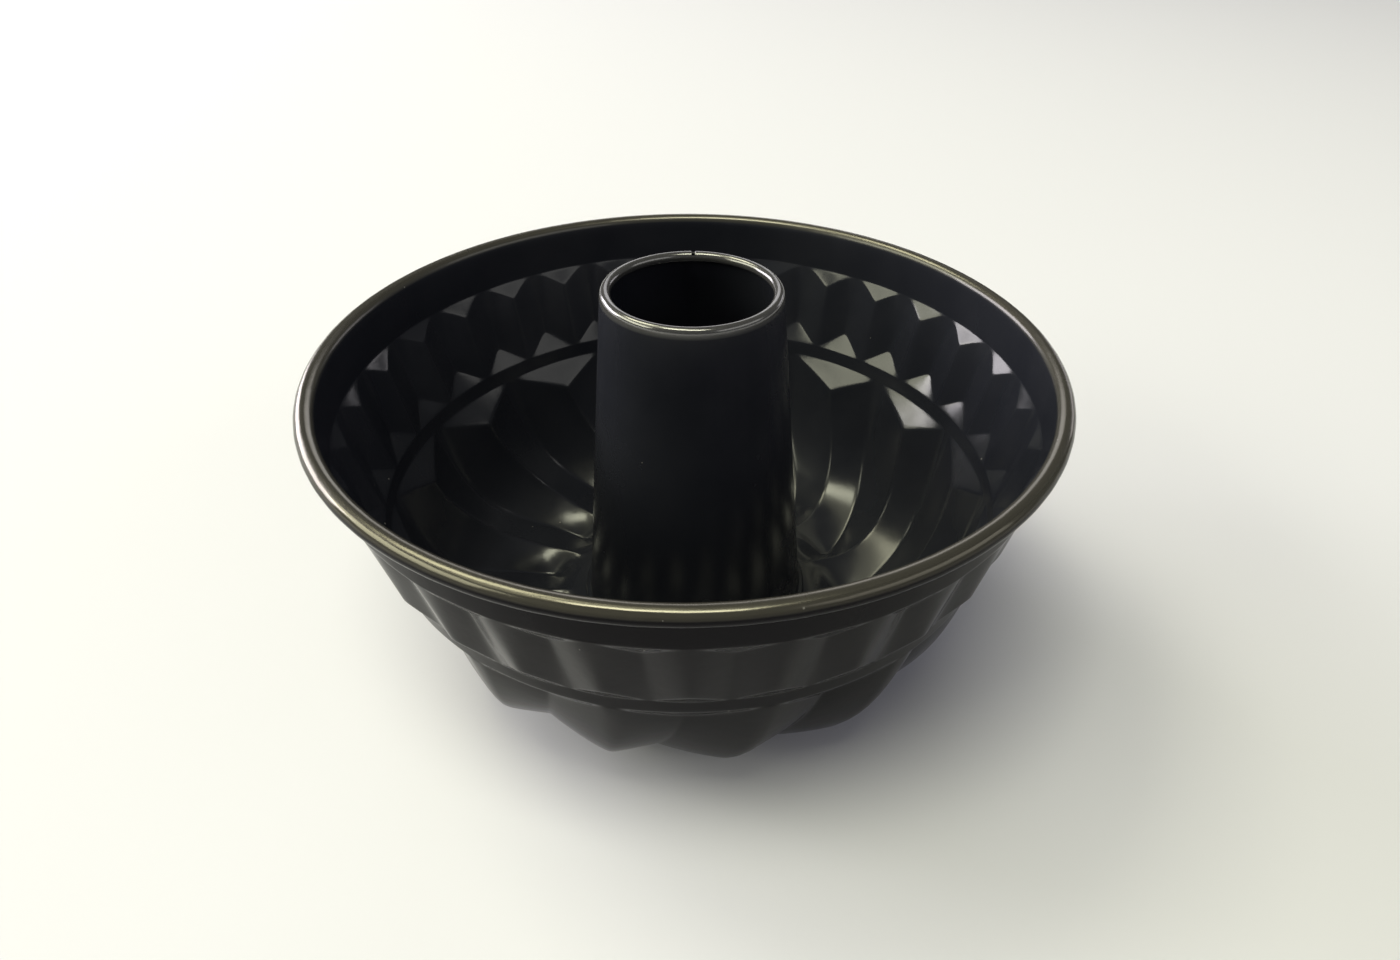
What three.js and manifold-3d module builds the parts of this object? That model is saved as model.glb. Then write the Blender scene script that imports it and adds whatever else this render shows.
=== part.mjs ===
// Kugelhopf mould: a fluted sheet-steel shell with a rolled rim, and a conical chimney tube joined to its floor.
// Millimetres, +Z up. The origin is the centre of the face that the mould stands on.
import * as THREE from "three";
import { mergeVertices } from "three/addons/utils/BufferGeometryUtils.js";
import Module from "manifold-3d";

// Sheet and joint
const sheet = 0.6;
const seatGap = 0.3;

// Rolled rim
const rimOuterRadius = 110;
const rimBeadRadius = 2.7;
const rimHeight = 98.5; // centre of the bead above the standing face
const rimCurlSweep = 290; // degrees of the curl, counted from the wall; the rest is left open
const rimSteps = 8;

// Collar under the rim
const collarHeight = 12.9;
const collarDraft = 0.6; // how much narrower the collar is at its foot

// Upper tier of narrow flutes
const upperFlutes = 30;
const upperTierHeight = 27.3;
const upperRidgeWidth = 4.4; // rounded ridge, taken as a flat
const upperLedgeInset = 3; // inner fold behind the collar's foot
const upperLedgeDrop = 5.2;
const upperRidgeDraft = 5.1; // how far a ridge leans in from its top to its foot
const upperFootInset = 3.4; // from the ridge's foot in to the step band
const upperFootDrop = 6;

// Plain step band between the tiers
const stepWidth = 2.1;
const stepHeight = 7.1;

// Lower tier of wide, swirled flutes
const lowerLedgeInset = 4.9;
const lowerLedgeDrop = 7.2;
const ridgeLean = 5.6; // how far a ridge leans in on its way down to its heel
const valleyLean = 7.5;
const heelHeight = 5.6; // above the floor, where the flutes turn in under the bowl
const ridgeSwirl = 17; // degrees that a ridge turns between the step band and the floor
const valleySwirl = 21;
const ridgeGather = 1.65; // above 1, so that the turn gathers towards the floor
const valleyGather = 1.4;
const lowerSteps = 6;
const foldLip = 0.85; // least height of a triangular ledge at its ends

// Floor
const ridgeFloorWidth = 9.6; // flat floor between the joint's dish and a ridge
const valleyFloorWidth = 4.8;
const dishRise = 6; // the floor is dished up round the tube, so the joint clears the table
const dishSlopeWidth = 6;
const dishFlatWidth = 4;

// Chimney tube
const tubeFootRadius = 36.5;
const tubeTopRadius = 26.3;
const tubeRise = 22.4; // top of the tube above the centre of the rim bead
const tubeCurlRadius = 1.6;
const tubeCurlSweep = 250;
const tubeFlangeWidth = 3;
const tubeBeadReach = 2;
const tubeBeadHeight = 3.2;
const tubeSides = 48;

// Lap seam of the tube
const seamTurn = -2.5; // degrees from +Y
const seamWidth = 5.5;
const seamProud = 0.45;
const seamNotchWidth = 1.3;
const seamNotchDepth = 1.1;

const wasm = await Module();
wasm.setup();

const radians = THREE.MathUtils.degToRad;
const lerp = THREE.MathUtils.lerp;

// A point of the row frame: turn runs anticlockwise from +Y, seen from above.
function polar(radius, turn, height) {
  return new THREE.Vector3(-radius * Math.sin(turn), radius * Math.cos(turn), height);
}

// An arc in the half plane of radius and height, from one angle to another in degrees.
function arcPoints(centreRadius, centreHeight, radius, from, to, steps) {
  return Array.from({ length: steps + 1 }, (_, i) => {
    const angle = radians(lerp(from, to, i / steps));
    return new THREE.Vector2(centreRadius + radius * Math.cos(angle), centreHeight + radius * Math.sin(angle));
  });
}

// Heights of the shell's inner skin, from the rim down to the floor.
const floorHeight = sheet;
const collarFootHeight = rimHeight - collarHeight;
const stepTopHeight = collarFootHeight - upperTierHeight;
const stepFootHeight = stepTopHeight - stepHeight;

// Radii of the inner skin, from the rim in to the hole.
const rimCentreRadius = rimOuterRadius - rimBeadRadius;
const mouthRadius = rimCentreRadius - rimBeadRadius;
const collarFootRadius = mouthRadius - collarDraft;
const ridgeFootRadius = collarFootRadius - upperRidgeDraft;
const stepTopRadius = ridgeFootRadius - upperFootInset;
const stepFootRadius = stepTopRadius - stepWidth;
const holeRadius = tubeFootRadius + seatGap;
const dishRadius = holeRadius + dishFlatWidth;
const floorInnerRadius = dishRadius + dishSlopeWidth;

// Turns of the columns round the shell: two on each ridge and one in each fold of the upper tier.
const upperPitch = (2 * Math.PI) / upperFlutes;
const halfRidge = Math.asin(upperRidgeWidth / 2 / collarFootRadius);
const columns = [];
for (let flute = 0; flute < upperFlutes; flute++) {
  const ridge = flute * upperPitch;
  columns.push({ turn: ridge - halfRidge, ridge: true, flute });
  columns.push({ turn: ridge + halfRidge, ridge: true, flute });
  columns.push({ turn: ridge + upperPitch / 2, ridge: false, flute });
}

function ring(radius, height, turnOffset = 0) {
  return columns.map(({ turn }) => polar(radius, turn + turnOffset, height));
}

// A row of the upper tier: ridges and folds each have their own radius and height.
function upperRow(ridgePoint, foldPoint) {
  return columns.map(({ turn, ridge }) => {
    const at = ridge ? ridgePoint : foldPoint;
    return polar(at.x, turn, at.y);
  });
}

// A row of the lower tier: every second upper ridge runs on as a wide ridge, the ones between turn into valleys,
// and the folds between them lie on the straight facet.
function lowerRow(ridgePoint, valleyPoint, ridgeTurn, valleyTurn) {
  const corner = ({ turn, flute }) =>
    flute % 2
      ? polar(valleyPoint.x, turn + valleyTurn, valleyPoint.y)
      : polar(ridgePoint.x, turn + ridgeTurn, ridgePoint.y);
  return columns.map((column, i) => {
    if (column.ridge) return corner(column);
    const after = columns[(i + 1) % columns.length];
    return corner(columns[i - 1]).lerp(corner(after), 0.5);
  });
}

function shellRows() {
  const curlEnd = 180 - rimCurlSweep;
  const bead = arcPoints(rimCentreRadius, rimHeight, rimBeadRadius, curlEnd, 180, rimSteps);
  const rows = bead.map((p) => ring(p.x, p.y));
  rows.push(ring(collarFootRadius, collarFootHeight));

  const ridgeTop = new THREE.Vector2(collarFootRadius, collarFootHeight);
  const ridgeFoot = new THREE.Vector2(ridgeFootRadius, stepTopHeight + upperFootDrop);
  const foldTop = new THREE.Vector2(collarFootRadius - upperLedgeInset, collarFootHeight - upperLedgeDrop);
  const foldFoot = new THREE.Vector2(stepTopRadius, stepTopHeight);
  const lipShare = foldLip / upperTierHeight;
  rows.push(upperRow(ridgeTop.clone().lerp(ridgeFoot, lipShare), foldTop));
  rows.push(upperRow(ridgeFoot, foldFoot.clone().lerp(foldTop, lipShare)));
  rows.push(ring(stepTopRadius, stepTopHeight));
  rows.push(ring(stepFootRadius, stepFootHeight));

  const heel = floorHeight + heelHeight;
  const ridgeCurve = new THREE.QuadraticBezierCurve(
    new THREE.Vector2(stepFootRadius, stepFootHeight - foldLip),
    new THREE.Vector2(stepFootRadius - ridgeLean, heel),
    new THREE.Vector2(floorInnerRadius + ridgeFloorWidth, floorHeight),
  );
  const valleyTop = new THREE.Vector2(stepFootRadius - lowerLedgeInset, stepFootHeight - lowerLedgeDrop);
  const valleyCurve = new THREE.QuadraticBezierCurve(
    valleyTop,
    new THREE.Vector2(valleyTop.x - valleyLean, heel),
    new THREE.Vector2(floorInnerRadius + valleyFloorWidth, floorHeight),
  );
  for (let i = 0; i <= lowerSteps; i++) {
    const along = i / lowerSteps;
    const ridgeTurn = radians(-ridgeSwirl) * along ** ridgeGather;
    const valleyTurn = radians(-valleySwirl) * along ** valleyGather;
    rows.push(lowerRow(ridgeCurve.getPoint(along), valleyCurve.getPoint(along), ridgeTurn, valleyTurn));
  }

  const swirl = radians(-lerp(ridgeSwirl, valleySwirl, 0.5));
  rows.push(ring(floorInnerRadius, floorHeight, swirl));
  rows.push(ring(dishRadius, floorHeight + dishRise, swirl));
  rows.push(ring(holeRadius, floorHeight + dishRise, swirl));
  return rows;
}

// A closed sheet from rows of points on its skin: the skin, the same skin set back by the sheet, and two edges.
function sheetSolid(rows, thickness) {
  const around = rows[0].length;
  const count = rows.length * around;
  const id = (row, column) => row * around + (column % around);
  const faces = [];
  for (let row = 0; row + 1 < rows.length; row++) {
    for (let column = 0; column < around; column++) {
      const [a, b] = [id(row, column), id(row, column + 1)];
      const [c, d] = [id(row + 1, column), id(row + 1, column + 1)];
      faces.push(a, b, c, b, d, c);
    }
  }
  const points = rows.flat();
  const skin = new THREE.BufferGeometry().setFromPoints(points).setIndex(faces);
  skin.computeVertexNormals();
  const normals = skin.getAttribute("normal");
  const back = points.map((p, i) =>
    p.clone().addScaledVector(new THREE.Vector3().fromBufferAttribute(normals, i), -thickness),
  );
  const index = [...faces];
  for (let i = 0; i < faces.length; i += 3) {
    index.push(faces[i] + count, faces[i + 2] + count, faces[i + 1] + count);
  }
  const last = rows.length - 1;
  for (let column = 0; column < around; column++) {
    const [a, b] = [id(0, column), id(0, column + 1)];
    const [c, d] = [id(last, column), id(last, column + 1)];
    index.push(b, a, a + count, b, a + count, b + count);
    index.push(c, d, d + count, c, d + count, c + count);
  }
  return new THREE.BufferGeometry().setFromPoints([...points, ...back]).setIndex(index);
}

// An open path set back to its right-hand side by a distance, with mitred corners.
function offsetPath(path, distance) {
  const sideOf = (a, b) => new THREE.Vector2(b.y - a.y, a.x - b.x).normalize();
  return path.map((p, i) => {
    const before = i > 0 ? sideOf(path[i - 1], p) : sideOf(p, path[i + 1]);
    const after = i + 1 < path.length ? sideOf(p, path[i + 1]) : before;
    const side = before.clone().add(after).normalize();
    return p.clone().addScaledVector(side, distance / side.dot(after));
  });
}

// Outer skin of the tube from the flange under the floor, through the hole, to the curl at the top.
const tubeFlangeHeight = dishRise - seatGap;
const tubeBeadFoot = floorHeight + dishRise + seatGap;
const tubeBeadTop = tubeBeadFoot + tubeBeadHeight;
const tubeCurlHeight = rimHeight + tubeRise - tubeCurlRadius;

function tubeSkin() {
  const flangeEdge = new THREE.Vector2(tubeFootRadius + tubeFlangeWidth, tubeFlangeHeight);
  const flangeRoot = new THREE.Vector2(tubeFootRadius, tubeFlangeHeight);
  const beadMiddle = (tubeBeadFoot + tubeBeadTop) / 2;
  const bead = arcPoints(0, 0, 1, -90, 90, 6).map(
    (p) => new THREE.Vector2(tubeFootRadius + p.x * tubeBeadReach, beadMiddle + (p.y * tubeBeadHeight) / 2),
  );
  const curl = arcPoints(tubeTopRadius - tubeCurlRadius, tubeCurlHeight, tubeCurlRadius, 0, tubeCurlSweep, 8);
  return [flangeEdge, flangeRoot, ...bead, ...curl];
}

function toManifold(geometry) {
  const bare = geometry.clone();
  bare.deleteAttribute("normal");
  bare.deleteAttribute("uv");
  const merged = mergeVertices(bare, 1e-4);
  return new wasm.Manifold(
    new wasm.Mesh({
      numProp: 3,
      vertProperties: merged.getAttribute("position").array,
      triVerts: new Uint32Array(merged.index.array),
    }),
  );
}

function toGeometry(solid) {
  const { vertProperties, triVerts } = solid.getMesh();
  const geometry = new THREE.BufferGeometry();
  geometry.setAttribute("position", new THREE.BufferAttribute(vertProperties, 3));
  return geometry.setIndex(new THREE.BufferAttribute(triVerts, 1));
}

// The strip of the lap seam lies along the cone from its foot bead to its curl, sunk half way into the wall.
function seamStrip() {
  const foot = new THREE.Vector3(0, tubeFootRadius, tubeBeadTop);
  const top = new THREE.Vector3(0, tubeTopRadius, tubeCurlHeight);
  const along = top.clone().sub(foot);
  const depth = sheet / 2 + seamProud;
  const strip = new THREE.BoxGeometry(seamWidth, depth, along.length());
  strip.translate(0, depth / 2 - sheet / 2, along.length() / 2);
  strip.rotateX(Math.atan2(-along.y, along.z));
  return strip.translate(foot.x, foot.y, foot.z);
}

// The gap that the seam leaves in the curl at the top.
function seamNotch() {
  const reach = 2 * tubeCurlRadius;
  const notch = new THREE.BoxGeometry(seamNotchWidth, 2 * reach, 2 * seamNotchDepth);
  return notch.translate(0, tubeTopRadius - tubeCurlRadius, rimHeight + tubeRise);
}

function tubeGeometry() {
  const skin = tubeSkin();
  const inside = offsetPath(skin, -sheet).reverse();
  const tube = new THREE.LatheGeometry([...skin, ...inside, skin[0]], tubeSides);
  tube.rotateX(Math.PI / 2);
  const seam = [seamStrip(), seamNotch()].map((piece) => toManifold(piece.rotateZ(radians(seamTurn))));
  return toGeometry(toManifold(tube).add(seam[0]).subtract(seam[1]));
}

const shellCoating = new THREE.MeshStandardMaterial({ color: 0x17171b, roughness: 0.34, metalness: 0.25 });
const tubeCoating = new THREE.MeshStandardMaterial({ color: 0x141418, roughness: 0.4, metalness: 0.25 });

const mould = new THREE.Group();

const shell = new THREE.Mesh(sheetSolid(shellRows(), sheet), shellCoating);
shell.name = "mould_shell";
mould.add(shell);

const tube = new THREE.Mesh(tubeGeometry(), tubeCoating);
tube.name = "chimney_tube";
mould.add(tube);

export default mould;
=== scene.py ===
import math

import bmesh
import bpy
from mathutils import Matrix, Vector


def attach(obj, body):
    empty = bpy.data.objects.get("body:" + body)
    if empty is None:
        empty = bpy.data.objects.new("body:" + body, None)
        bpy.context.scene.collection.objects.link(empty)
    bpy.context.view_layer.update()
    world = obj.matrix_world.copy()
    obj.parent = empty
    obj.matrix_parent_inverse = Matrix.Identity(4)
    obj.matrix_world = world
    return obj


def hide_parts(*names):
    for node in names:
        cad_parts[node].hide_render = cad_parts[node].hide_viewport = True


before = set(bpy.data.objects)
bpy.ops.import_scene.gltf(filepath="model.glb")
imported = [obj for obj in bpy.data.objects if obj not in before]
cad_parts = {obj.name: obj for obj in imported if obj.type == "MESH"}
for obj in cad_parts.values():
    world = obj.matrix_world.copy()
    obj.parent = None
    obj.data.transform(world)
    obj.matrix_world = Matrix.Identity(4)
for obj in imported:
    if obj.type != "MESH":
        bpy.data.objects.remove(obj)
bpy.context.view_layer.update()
bpy.ops.object.select_all(action="DESELECT")
print("frame loaded:", sorted(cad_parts))

mm = 0.001
fullTurn = 2 * math.pi
smoothBelow = math.radians(50)       # folds sharper than this stay sharp


# ring modelling: a circle is extruded ring by ring, and every column of a ring is pushed to its place

def startRing(name, columns, radius, height):
    # half a column round from +Y, so that a ridge's middle lies between two columns
    bpy.ops.mesh.primitive_circle_add(vertices=columns, radius=radius * mm, location=(0, 0, height * mm),
                                      rotation=(0, 0, math.pi / columns))
    piece = bpy.context.object
    piece.name = piece.data.name = name
    bpy.ops.object.transform_apply(location=True, rotation=True, scale=True)
    bpy.ops.object.mode_set(mode="EDIT")
    bpy.ops.mesh.select_mode(type="VERT")
    bpy.ops.mesh.select_all(action="SELECT")
    return piece, [(radius, height, 0.0)] * columns


def columnOrder(piece, columns, turns):
    # vertices of the selected ring, each under the number of its column
    mesh = bmesh.from_edit_mesh(piece.data)
    step = fullTurn / columns
    order = [None] * columns
    for vert in mesh.verts:
        if vert.select:
            turn = math.atan2(-vert.co.x, vert.co.y)
            aside = [abs(math.remainder((c + 0.5) * step + turns[c] - turn, fullTurn)) for c in range(columns)]
            order[aside.index(min(aside))] = vert.index
    return order


def selectVerts(piece, indices):
    bpy.ops.mesh.select_all(action="DESELECT")
    mesh = bmesh.from_edit_mesh(piece.data)
    mesh.verts.ensure_lookup_table()
    for i in indices:
        mesh.verts[i].select = True
    mesh.select_flush(True)
    bmesh.update_edit_mesh(piece.data)


def pullRing(piece, places, target):
    # extrudes the selected ring and moves its columns, group by group, to their radius, height and turn
    bpy.ops.mesh.extrude_edges_move()
    columns = len(places)
    order = columnOrder(piece, columns, [p[2] for p in places])
    groups = {}
    for column in range(columns):
        groups.setdefault((places[column], target[column]), []).append(order[column])
    for (old, new), indices in groups.items():
        if len(groups) > 1:
            selectVerts(piece, indices)
        grow = new[0] / old[0]
        bpy.ops.transform.resize(value=(grow, grow, 1), center_override=(0, 0, 0))
        bpy.ops.transform.translate(value=(0, 0, (new[1] - old[1]) * mm))
        if new[2] != old[2]:
            bpy.ops.transform.rotate(value=-(new[2] - old[2]), orient_axis="Z", center_override=(0, 0, 0))
    if len(groups) > 1:
        selectVerts(piece, order)
    return target


def finishSheet(piece, thickness, shows):
    # shows: a place on the sheet and the way its showing side faces there; the thickness goes behind it
    place, way = (Vector(v) for v in shows)
    bpy.ops.mesh.select_all(action="SELECT")
    bpy.ops.mesh.normals_make_consistent(inside=False)
    mesh = bmesh.from_edit_mesh(piece.data)
    mesh.faces.ensure_lookup_table()
    face = min(mesh.faces, key=lambda f: (f.calc_center_median() - place).length)
    if face.normal.dot(way) < 0:
        bpy.ops.mesh.flip_normals()
    bpy.ops.object.mode_set(mode="OBJECT")
    folds = piece.modifiers.new("rounded folds", "SUBSURF")
    folds.levels = folds.render_levels = 1
    wall = piece.modifiers.new("sheet", "SOLIDIFY")
    wall.thickness, wall.offset, wall.use_even_offset = thickness * mm, -1, True
    for modifier in (folds, wall):
        bpy.ops.object.modifier_apply(modifier=modifier.name)
    bpy.ops.object.shade_smooth_by_angle(angle=smoothBelow)
    piece.select_set(False)


def between(a, b, share):
    return tuple(x + (y - x) * share for x, y in zip(a, b))


# shell: millimetres, a pair is a radius and a height, and rings are shares of the way down

shellForm = {
    "sheet": 0.6,
    "columns": 240,
    "bead": (107.3, 98.5, 2.7),      # radius and height of the bead's middle, and its own radius
    "curl": (-110, 180, 11),         # degrees from the free end to the wall, and steps
    "outerCoating": 1.2,             # starts this far outside the bead's middle
    "collarFoot": (104.0, 85.6),
    "collarRings": (0.25, 0.7, 0.96),
    "upperFold": (100.75, 80.7),     # tip of the inverted triangle under the collar
    "ridgeFoot": (99.1, 63.8),       # tip of the upright triangle above the step
    "ledgeLip": 0.03,                # share of a ridge or fold that a small ledge takes at its corners
    "ledgeRings": (0.1, 0.9),
    "facetRings": (0.0, 0.035, 0.5, 0.965, 1.0),
    "stepTop": (94.9, 57.4),
    "stepFoot": (94.2, 52.6),
    "stepRings": (0.12, 0.88),
    "bigLedgeRings": (0.08, 0.93),
    # rows of the swirled flutes: radius, height and clockwise turn of the ridge, and of the fold beside it,
    # whose first row is the tip of the big inverted triangle under the step
    "lowerRows": (
        ((94.1, 51.75, 0.0), (88.1, 44.2, 1.0)),
        ((93.35, 48.2, 0.1), (87.75, 42.2, 1.2)),
        ((91.44, 40.25, 0.55), (86.2, 35.45, 2.35)),
        ((89.2, 31.75, 1.35), (83.5, 28.3, 4.15)),
        ((86.1, 23.5, 2.7), (80.0, 21.55, 6.3)),
        ((81.55, 16.0, 4.9), (75.5, 15.45, 8.6)),
        ((75.75, 10.4, 7.9), (70.25, 10.9, 10.75)),
        ((68.7, 6.45, 11.6), (64.0, 7.8, 12.8)),
        ((61.8, 3.0, 15.2), (57.8, 6.6, 14.2)),
        ((57.4, 1.1, 17.0), (53.8, 6.4, 14.6)),
        ((54.4, 0.62, 17.9), (50.6, 6.4, 14.8)),
    ),
    "floorRows": (                   # the lobes end against the dish round the tube
        ((52.0, 1.0), (48.9, 6.4)),
        ((49.4, 2.4), (47.2, 6.4)),
        ((46.8, 4.2), (45.6, 6.35)),
        ((44.4, 5.7), (44.0, 6.3)),
    ),
    "floorRings": ((42.2, 6.35), (40.0, 6.57), (36.85, 6.6)),
    # columns of half a flute, in degrees from the ridge's middle
    "upperHalf": (0.4, 2.0, 4.9, 5.72),
    "lowerHalf": (0.35, 1.2, 2.2, 4.2, 6.6, 9.0, 10.8, 11.7),
    # half widths of the flat on the ridge and in the fold, in degrees, at a tier's top and at its foot
    "upperFlats": ((2.0, 0.28), (0.4, 1.1)),
    "lowerFlats": ((1.2, 0.3), (0.35, 0.3)),
    "lowerHaste": 1.6,               # the lower flats reach their foot width before the last row
    "shows": ((0, 0.104, 0.092), (0, -1, 0)),
}


def makeShell(form):
    columns = form["columns"]

    def fluteColumns(tier, down):
        # share of each column on the way from ridge to fold, and how far it is turned from its even place
        half = form[tier + "Half"]
        ridgeFlat, foldFlat = between(*form[tier + "Flats"], down)
        shares, turns = [], []
        wide = 2 * len(half)
        pitch = 360 * wide / columns
        for column in range(columns):
            near = column % wide
            late = near >= len(half)
            degrees = half[wide - 1 - near if late else near]
            share = (degrees - ridgeFlat) / (pitch / 2 - foldFlat - ridgeFlat)
            shares.append(min(1.0, max(0.0, share)))
            if late:
                degrees = pitch - degrees
            turns.append(math.radians(degrees - (near + 0.5) * 360 / columns))
        return shares, turns

    topShare, upperTurn = fluteColumns("upper", 0.0)
    footShare, _ = fluteColumns("upper", 1.0)
    lowerShare, lowerTurn = fluteColumns("lower", 0.0)

    beadRadius, beadHeight, beadSize = form["bead"]
    start, end, steps = form["curl"]
    curl = []
    for i in range(steps + 1):
        a = math.radians(start + (end - start) * i / steps)
        curl.append((beadRadius + beadSize * math.cos(a), beadHeight + beadSize * math.sin(a)))
    piece, places = startRing("fluted_shell", columns, *curl[0])

    def plain(radius, height, turns=None):
        nonlocal places
        turns = turns or [p[2] for p in places]
        places = pullRing(piece, places, [(radius, height, t) for t in turns])

    def fluted(ridge, fold, shares, turns=None):
        nonlocal places
        turns = turns or [p[2] for p in places]
        places = pullRing(piece, places, [(*between(ridge, fold, s), t) for s, t in zip(shares, turns)])

    for radius, height in curl[1:]:
        plain(radius, height, upperTurn)
    collarFoot = form["collarFoot"]
    for share in form["collarRings"]:
        plain(*between(curl[-1], collarFoot, share))
    plain(*collarFoot)

    # upper tier: small ledges under the collar, straight facets, small ledges on the step
    foldTop, ridgeFoot, stepTop = form["upperFold"], form["ridgeFoot"], form["stepTop"]
    ridgeTop = between(collarFoot, ridgeFoot, form["ledgeLip"])
    foldFoot = between(stepTop, foldTop, form["ledgeLip"])
    for share in form["ledgeRings"]:
        fluted(between(collarFoot, ridgeTop, share), between(collarFoot, foldTop, share), topShare)
    for share in form["facetRings"]:
        shares, _ = fluteColumns("upper", share)
        fluted(between(ridgeTop, ridgeFoot, share), between(foldTop, foldFoot, share), shares)
    for share in form["ledgeRings"]:
        fluted(between(ridgeFoot, stepTop, share), between(foldFoot, stepTop, share), footShare)

    # plain step band, on which the columns move over to the wide flutes
    stepFoot = form["stepFoot"]
    upperRing, lowerRing = form["stepRings"]
    plain(*stepTop)
    plain(*between(stepTop, stepFoot, upperRing))
    for share in (lowerRing, 1.0):
        plain(*between(stepTop, stepFoot, share), lowerTurn)

    # lower tier: big ledges under the step, then the flutes swirl in under the bowl
    ridgeStart, tip = form["lowerRows"][0]
    for share in form["bigLedgeRings"]:
        turns = [even - math.radians(tip[2] * s * share) for s, even in zip(lowerShare, lowerTurn)]
        fluted(between(stepFoot, ridgeStart[:2], share), between(stepFoot, tip[:2], share), lowerShare, turns)
    last = len(form["lowerRows"]) - 1
    for i, (ridge, fold) in enumerate(form["lowerRows"]):
        shares, _ = fluteColumns("lower", min(1.0, form["lowerHaste"] * i / last))
        turns = [even - math.radians(ridge[2] + (fold[2] - ridge[2]) * s) for s, even in zip(shares, lowerTurn)]
        fluted(ridge[:2], fold[:2], shares, turns)
    for ridge, fold in form["floorRows"]:
        fluted(ridge, fold, shares)
    for radius, height in form["floorRings"]:
        plain(radius, height)

    finishSheet(piece, form["sheet"], form["shows"])
    outerFrom = (beadRadius + form["outerCoating"]) * mm
    for face in piece.data.polygons:     # coating 0 inside, 1 outside, the outside one a darker copy with painted shade
        face.material_index = int(face.normal.z < 0 or face.center.xy.length > outerFrom)
    print("shell:", len(piece.data.polygons), "faces")
    return piece


# tube: the same units

tubeForm = {
    "sheet": 0.6,
    "columns": 120,
    "flange": ((39.4, 5.72), (38.2, 5.7), (37.1, 5.7)),
    "foot": (36.5, 6.3),
    "bead": (36.5, 8.5, 2.0, 1.6),   # radius, height, reach and half height
    "beadSteps": (-80, -55, -28, 0, 28, 55, 80),     # degrees
    "coneStart": 0.3,                # above the bead
    "coneRings": (0.0, 0.012, 0.25, 0.5, 0.75, 0.985, 1.0),      # from the foot up
    "curl": (24.7, 119.3, 1.6, 250, 10),     # middle's radius and height, own radius, degrees and steps
    "seamTurn": -2.5,                # degrees from +Y
    "seamLap": 3,                    # columns
    "seamProud": 0.4,
    "seamGap": 0.5,                  # the gap opens this share of the curl's radius above its middle
    "shows": ((0, -0.032, 0.06), (0, -1, 0)),
}


def makeTube(form):
    columns = form["columns"]
    seam = round(form["seamTurn"] / 360 * columns - 0.5) % columns
    lap = {(seam + 1 + i) % columns for i in range(form["seamLap"])}
    piece, places = startRing("seamed_tube", columns, *form["flange"][0])

    def plain(radius, height):
        nonlocal places
        places = pullRing(piece, places, [(radius, height, 0.0)] * columns)

    for radius, height in form["flange"][1:]:
        plain(radius, height)
    plain(*form["foot"])
    radius, height, reach, halfHeight = form["bead"]
    for degrees in form["beadSteps"]:
        a = math.radians(degrees)
        plain(radius + reach * math.cos(a), height + halfHeight * math.sin(a))
    curlRadius, curlHeight, curlSize, sweep, steps = form["curl"]
    coneFoot = (radius, height + halfHeight + form["coneStart"])
    coneTop = (curlRadius + curlSize, curlHeight)
    for share in form["coneRings"]:
        at = between(coneFoot, coneTop, share)
        proud = form["seamProud"] if 0 < share < 1 else 0
        target = [(at[0] + (proud if c in lap else 0), at[1], 0.0) for c in range(columns)]
        places = pullRing(piece, places, target)
    for i in range(1, steps + 1):
        a = math.radians(sweep * i / steps)
        plain(curlRadius + curlSize * math.cos(a), curlHeight + curlSize * math.sin(a))

    # the gap that the seam leaves in the curl
    bpy.ops.mesh.select_all(action="DESELECT")
    bpy.ops.mesh.select_mode(type="FACE")
    mesh = bmesh.from_edit_mesh(piece.data)
    gapTurn = (seam + 1) * fullTurn / columns
    gapAbove = (curlHeight + form["seamGap"] * curlSize) * mm
    for face in mesh.faces:
        at = face.calc_center_median()
        aside = math.remainder(math.atan2(-at.x, at.y) - gapTurn, fullTurn)
        face.select = at.z > gapAbove and abs(aside) < math.pi / columns
    bmesh.update_edit_mesh(piece.data)
    bpy.ops.mesh.delete(type="FACE")
    bpy.ops.mesh.select_mode(type="VERT")

    finishSheet(piece, form["sheet"], form["shows"])
    print("tube:", len(piece.data.polygons), "faces")
    return piece


# coating: lengths in metres

insideLook = {
    "dark": (0.0155, 0.0168, 0.0240, 1),
    "pale": (0.0215, 0.0228, 0.0310, 1),
    "worn": (0.036, 0.032, 0.028, 1),    # rubbed folds and edges
    "bead": (0.135, 0.127, 0.108, 1),    # the tops of the rolled rims, in the metal's colour: partly the metal's own tone, partly a painted highlight
    "speck": (0.22, 0.21, 0.20, 1),
    "ior": 1.5,
    "rough": (0.17, 0.25),
    "beadRougher": 0.03,
    "speckRougher": 0.3,
    "beadMetal": 0.75,
    # the metal colour goes on only above this height, on the top of the roll, where it is partly a painted
    # highlight
    "beadAbove": 0.0998,
    "beadFade": 0.0009,
    "foldWear": 0.7,
    "foldRange": (0.52, 0.60),           # of pointiness, over which a fold's wear sets in
    "cloudScale": 26.0,
    "cloudRange": (0.35, 0.65),
    "patchScale": 140.0,
    "patchRange": (0.42, 0.62),
    "patchShare": 0.5,                   # of the patches in the uneven gloss, beside the clouds
    "unevenRange": (0.55, 0.95),
    "speckScale": 210.0,
    "speckSize": 0.055,                  # of a cell
    "speckFrom": 0.93,                   # only the cells with a random number above this have a speck
    "grainScale": 1500.0,
    "grainBump": dict(Strength=0.14, Distance=0.00004),
    "peelScale": 330.0,
    "peelBump": dict(Strength=0.10, Distance=0.0002),
}
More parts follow.
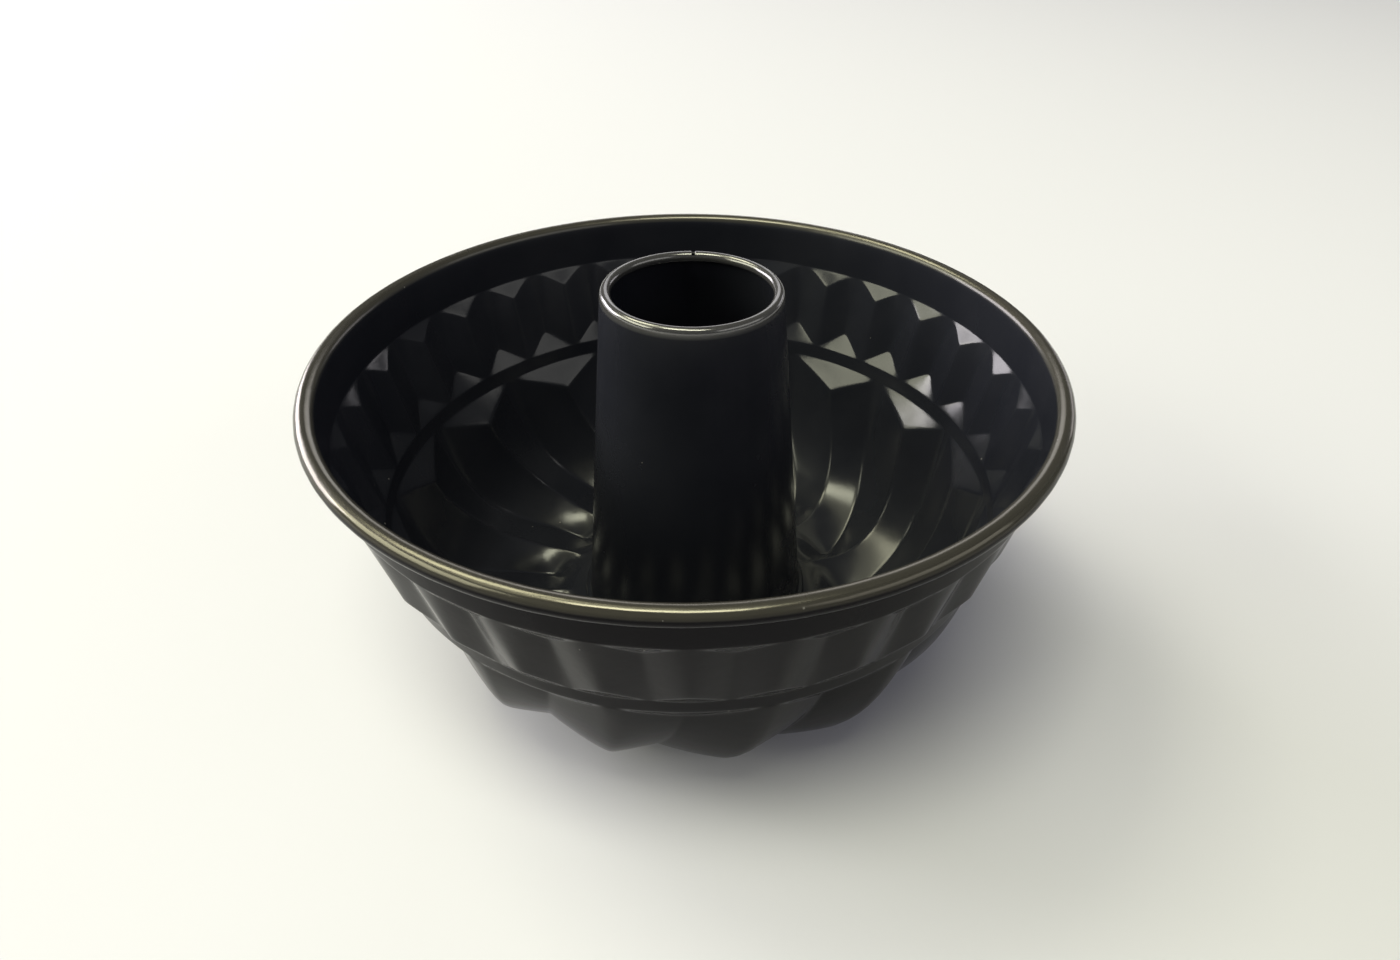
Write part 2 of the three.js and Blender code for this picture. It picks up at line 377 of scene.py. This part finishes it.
# the outside: a darker, plum-tinted copy of the coating, painted shade and a painted reflection tint of dark
# surroundings
outsideShadedLook = {
    **insideLook,
    "dark": (0.0054, 0.0048, 0.0066, 1),
    "pale": (0.0058, 0.0052, 0.0070, 1),
    "ior": 1.15,
    "rough": (0.09, 0.17),
}
tubeLook = {
    **insideLook,
    # the top of the curl in a neutral metal colour: partly its own tone, partly a painted highlight
    "bead": (0.185, 0.183, 0.185, 1),
    "ior": 1.42,
    "rough": (0.25, 0.28),
    "beadRougher": -0.10,
    "beadAbove": 0.1186,
}


def node(tree, kind, **values):
    made = tree.nodes.new(kind)
    for key, value in values.items():
        if key in made.inputs:
            made.inputs[key].default_value = value
        else:
            setattr(made, key, value)
    return made


def ramp(tree, source, low, high, to=(0.0, 1.0)):
    made = node(tree, "ShaderNodeMapRange",
                **{"From Min": low, "From Max": high, "To Min": to[0], "To Max": to[1]})
    tree.links.new(source, made.inputs["Value"])
    return made.outputs["Result"]


def combine(tree, operation, a, b):
    made = node(tree, "ShaderNodeMath", operation=operation)
    for socket, value in zip(made.inputs, (a, b)):
        if isinstance(value, float):
            socket.default_value = value
        else:
            tree.links.new(value, socket)
    return made.outputs[0]


def mixColour(tree, share, a, b):
    made = node(tree, "ShaderNodeMix", data_type="RGBA")
    tree.links.new(share, made.inputs[0])
    for socket, value in zip((made.inputs[6], made.inputs[7]), (a, b)):      # the two colour sockets
        if isinstance(value, tuple):
            socket.default_value = value
        else:
            tree.links.new(value, socket)
    return made.outputs[2]


def coating(name, look):
    material = bpy.data.materials.new(name)
    material.use_nodes = True
    tree = material.node_tree
    link = tree.links.new
    shader = tree.nodes["Principled BSDF"]
    shader.inputs["IOR"].default_value = look["ior"]
    place = tree.nodes.new("ShaderNodeTexCoord").outputs["Object"]

    cloud = node(tree, "ShaderNodeTexNoise", Scale=look["cloudScale"], Detail=3.0)
    patch = node(tree, "ShaderNodeTexNoise", Scale=look["patchScale"], Detail=4.0)
    grain = node(tree, "ShaderNodeTexNoise", Scale=look["grainScale"], Detail=4.0)
    peel = node(tree, "ShaderNodeTexNoise", Scale=look["peelScale"], Detail=1.0)
    speck = node(tree, "ShaderNodeTexVoronoi", Scale=look["speckScale"])
    for texture in (cloud, patch, grain, peel, speck):
        link(place, texture.inputs["Vector"])
    height = node(tree, "ShaderNodeSeparateXYZ")
    link(place, height.inputs[0])

    # wear along convex folds, broken up by the patches; and the metal colour on the top of the rolled rim,
    # partly its own tone and partly a painted highlight
    pointed = tree.nodes.new("ShaderNodeNewGeometry").outputs["Pointiness"]
    patchy = ramp(tree, patch.outputs["Fac"], *look["patchRange"])
    fold = combine(tree, "MULTIPLY", ramp(tree, pointed, *look["foldRange"]), patchy)
    # mask of the metal colour on the top of a roll, partly a painted highlight
    low, high = look["beadAbove"] - look["beadFade"], look["beadAbove"] + look["beadFade"]
    metalTopAndHighlight = ramp(tree, height.outputs["Z"], low, high)
    # specks: a few cells of many, each with a small dot
    chance = node(tree, "ShaderNodeSeparateColor")
    link(speck.outputs["Color"], chance.inputs[0])
    chosen = combine(tree, "GREATER_THAN", chance.outputs["Red"], look["speckFrom"])
    dot = combine(tree, "LESS_THAN", speck.outputs["Distance"], look["speckSize"])
    dots = combine(tree, "MULTIPLY", dot, chosen)

    shade = mixColour(tree, ramp(tree, cloud.outputs["Fac"], *look["cloudRange"]), look["dark"], look["pale"])
    # the metal colour on the top of the roll, partly a painted highlight
    shade = mixColour(tree, metalTopAndHighlight, shade, look["bead"])
    shade = mixColour(tree, combine(tree, "MULTIPLY", fold, look["foldWear"]), shade, look["worn"])
    shade = mixColour(tree, dots, shade, look["speck"])
    link(shade, shader.inputs["Base Color"])
    link(combine(tree, "MULTIPLY", metalTopAndHighlight, look["beadMetal"]), shader.inputs["Metallic"])

    patches = combine(tree, "MULTIPLY", patch.outputs["Fac"], look["patchShare"])
    uneven = combine(tree, "ADD", cloud.outputs["Fac"], patches)
    rough = ramp(tree, uneven, *look["unevenRange"], look["rough"])
    rough = combine(tree, "ADD", rough, combine(tree, "MULTIPLY", metalTopAndHighlight, look["beadRougher"]))
    rough = combine(tree, "ADD", rough, combine(tree, "MULTIPLY", dots, look["speckRougher"]))
    link(rough, shader.inputs["Roughness"])

    fine = node(tree, "ShaderNodeBump", **look["grainBump"])
    link(grain.outputs["Fac"], fine.inputs["Height"])
    wavy = node(tree, "ShaderNodeBump", **look["peelBump"])
    link(peel.outputs["Fac"], wavy.inputs["Height"])
    link(fine.outputs["Normal"], wavy.inputs["Normal"])
    link(wavy.outputs["Normal"], shader.inputs["Normal"])
    return material


shell = makeShell(shellForm)
tube = makeTube(tubeForm)
shell.data.materials.append(coating("shell coating inside", insideLook))
shell.data.materials.append(coating("shell coating outside", outsideShadedLook))
tube.data.materials.append(coating("tube coating", tubeLook))
for piece, cadNode, slot in ((shell, "mould_shell", "shell_coating"), (tube, "chimney_tube", "tube_coating")):
    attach(piece, "root")
    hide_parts(cadNode)
print("coatings on")


# studio: metres and watts

studio = {
    "floor": (0.79, 0.795, 0.885, 1),
    "floorSize": 24,
    "low": (0.10, 0.10, 0.105, 1),       # round the horizon
    "high": (0.08, 0.08, 0.09, 1),       # overhead
    "lowToHigh": (0.45, 0.75),           # sines of the elevations between which one turns into the other
    "aim": (0, 0, 0.06),
    "lamps": {
        "key": dict(at=(-1.75, 1.10, 3.31), size=(1.3, 1.3), power=33, colour=(1.0, 0.98, 0.70)),
        "overhead": dict(at=(-0.28, -0.72, 3.28), size=(1.9, 0.8), power=45, colour=(1.0, 1.0, 0.76)),
        "glow": dict(at=(-1.15, 0.05, 2.97), size=(2.2, 2.2), power=16, colour=(1.0, 0.98, 0.68)),
        "window": dict(at=(-3.39, 1.96, 1.10), size=(2.9, 1.5), power=115, colour=(1.0, 0.95, 1.0)),
        "windowSide": dict(at=(-3.36, -0.50, 1.84), size=(3.6, 1.6), power=78, colour=(1.0, 1.0, 0.76)),
        "back": dict(at=(0.0, 3.76, 1.37), size=(1.6, 1.6), power=12, colour=(1.0, 0.98, 1.0)),
        "right": dict(at=(2.79, 2.79, 0.7), size=(1.6, 0.8), power=6, colour=(1.0, 0.96, 1.0)),
        "fill": dict(at=(2.9, -1.5, 1.8), size=(4.0, 1.5), power=18, colour=(1.0, 0.99, 0.94)),
    },
}


def makeFloor():
    bpy.ops.mesh.primitive_plane_add(size=studio["floorSize"])
    floor = bpy.context.object
    floor.name = "floor"
    material = bpy.data.materials.new("pale floor")
    material.use_nodes = True
    tree = material.node_tree
    tree.nodes.clear()
    matt = node(tree, "ShaderNodeBsdfDiffuse", Color=studio["floor"])
    out = tree.nodes.new("ShaderNodeOutputMaterial")
    tree.links.new(matt.outputs[0], out.inputs["Surface"])
    floor.data.materials.append(material)


def makeWorld():
    # dim, nearly even light from all round, a little weaker overhead
    world = bpy.context.scene.world or bpy.data.worlds.new("studio")
    bpy.context.scene.world = world
    world.use_nodes = True
    tree = world.node_tree
    tree.nodes.clear()
    direction = node(tree, "ShaderNodeSeparateXYZ")
    tree.links.new(tree.nodes.new("ShaderNodeTexCoord").outputs["Generated"], direction.inputs[0])
    rise = ramp(tree, direction.outputs["Z"], *studio["lowToHigh"])
    shine = node(tree, "ShaderNodeBackground", Strength=1.0)
    tree.links.new(mixColour(tree, rise, studio["low"], studio["high"]), shine.inputs["Color"])
    out = tree.nodes.new("ShaderNodeOutputWorld")
    tree.links.new(shine.outputs[0], out.inputs["Surface"])


def makeLamp(name, at, size, power, colour):
    lampData = bpy.data.lights.new(name, "AREA")
    lampData.shape, lampData.size, lampData.size_y = "RECTANGLE", *size
    lampData.energy, lampData.color = power, colour
    lamp = bpy.data.objects.new(name, lampData)
    lamp.location = at
    lamp.visible_camera = False
    lamp.rotation_euler = (Vector(studio["aim"]) - Vector(at)).to_track_quat("-Z", "Y").to_euler()
    bpy.context.scene.collection.objects.link(lamp)


makeFloor()
makeWorld()
for lampName, lampSetting in studio["lamps"].items():
    makeLamp(lampName, **lampSetting)
bpy.context.scene.view_settings.view_transform = "Standard"
print("studio lit")


# camera

view = {
    "at": (0.00394, -0.24084, 0.23323),
    "heading": 3.09,                     # degrees, clockwise from +Y
    "down": 36.839,
    "roll": 1.837,
    "picture": (1400, 960),              # pixels
    "focal": 919.556,                    # pixels
    "axis": (746.2, 479.9),              # where the lens axis meets the picture
    "sensor": 36,
    "near": 0.01,
}


def makeCamera():
    camera = bpy.data.objects.new("camera", bpy.data.cameras.new("camera"))
    heading, down, roll = (math.radians(view[k]) for k in ("heading", "down", "roll"))
    ahead = Vector((math.sin(heading) * math.cos(down), math.cos(heading) * math.cos(down), -math.sin(down)))
    right = Vector((math.cos(heading), -math.sin(heading), 0))
    up = right.cross(ahead)
    right, up = right * math.cos(roll) + up * math.sin(roll), up * math.cos(roll) - right * math.sin(roll)
    turned = Matrix((right, up, -ahead)).transposed().to_4x4()
    camera.matrix_world = Matrix.Translation(view["at"]) @ turned
    width, height = view["picture"]
    camera.data.sensor_width, camera.data.sensor_fit = view["sensor"], "HORIZONTAL"
    camera.data.lens = view["sensor"] * view["focal"] / width
    camera.data.shift_x = (width / 2 - view["axis"][0]) / width
    camera.data.shift_y = (view["axis"][1] - height / 2) / width
    camera.data.clip_start = view["near"]
    bpy.context.scene.collection.objects.link(camera)
    bpy.context.scene.camera = camera


makeCamera()
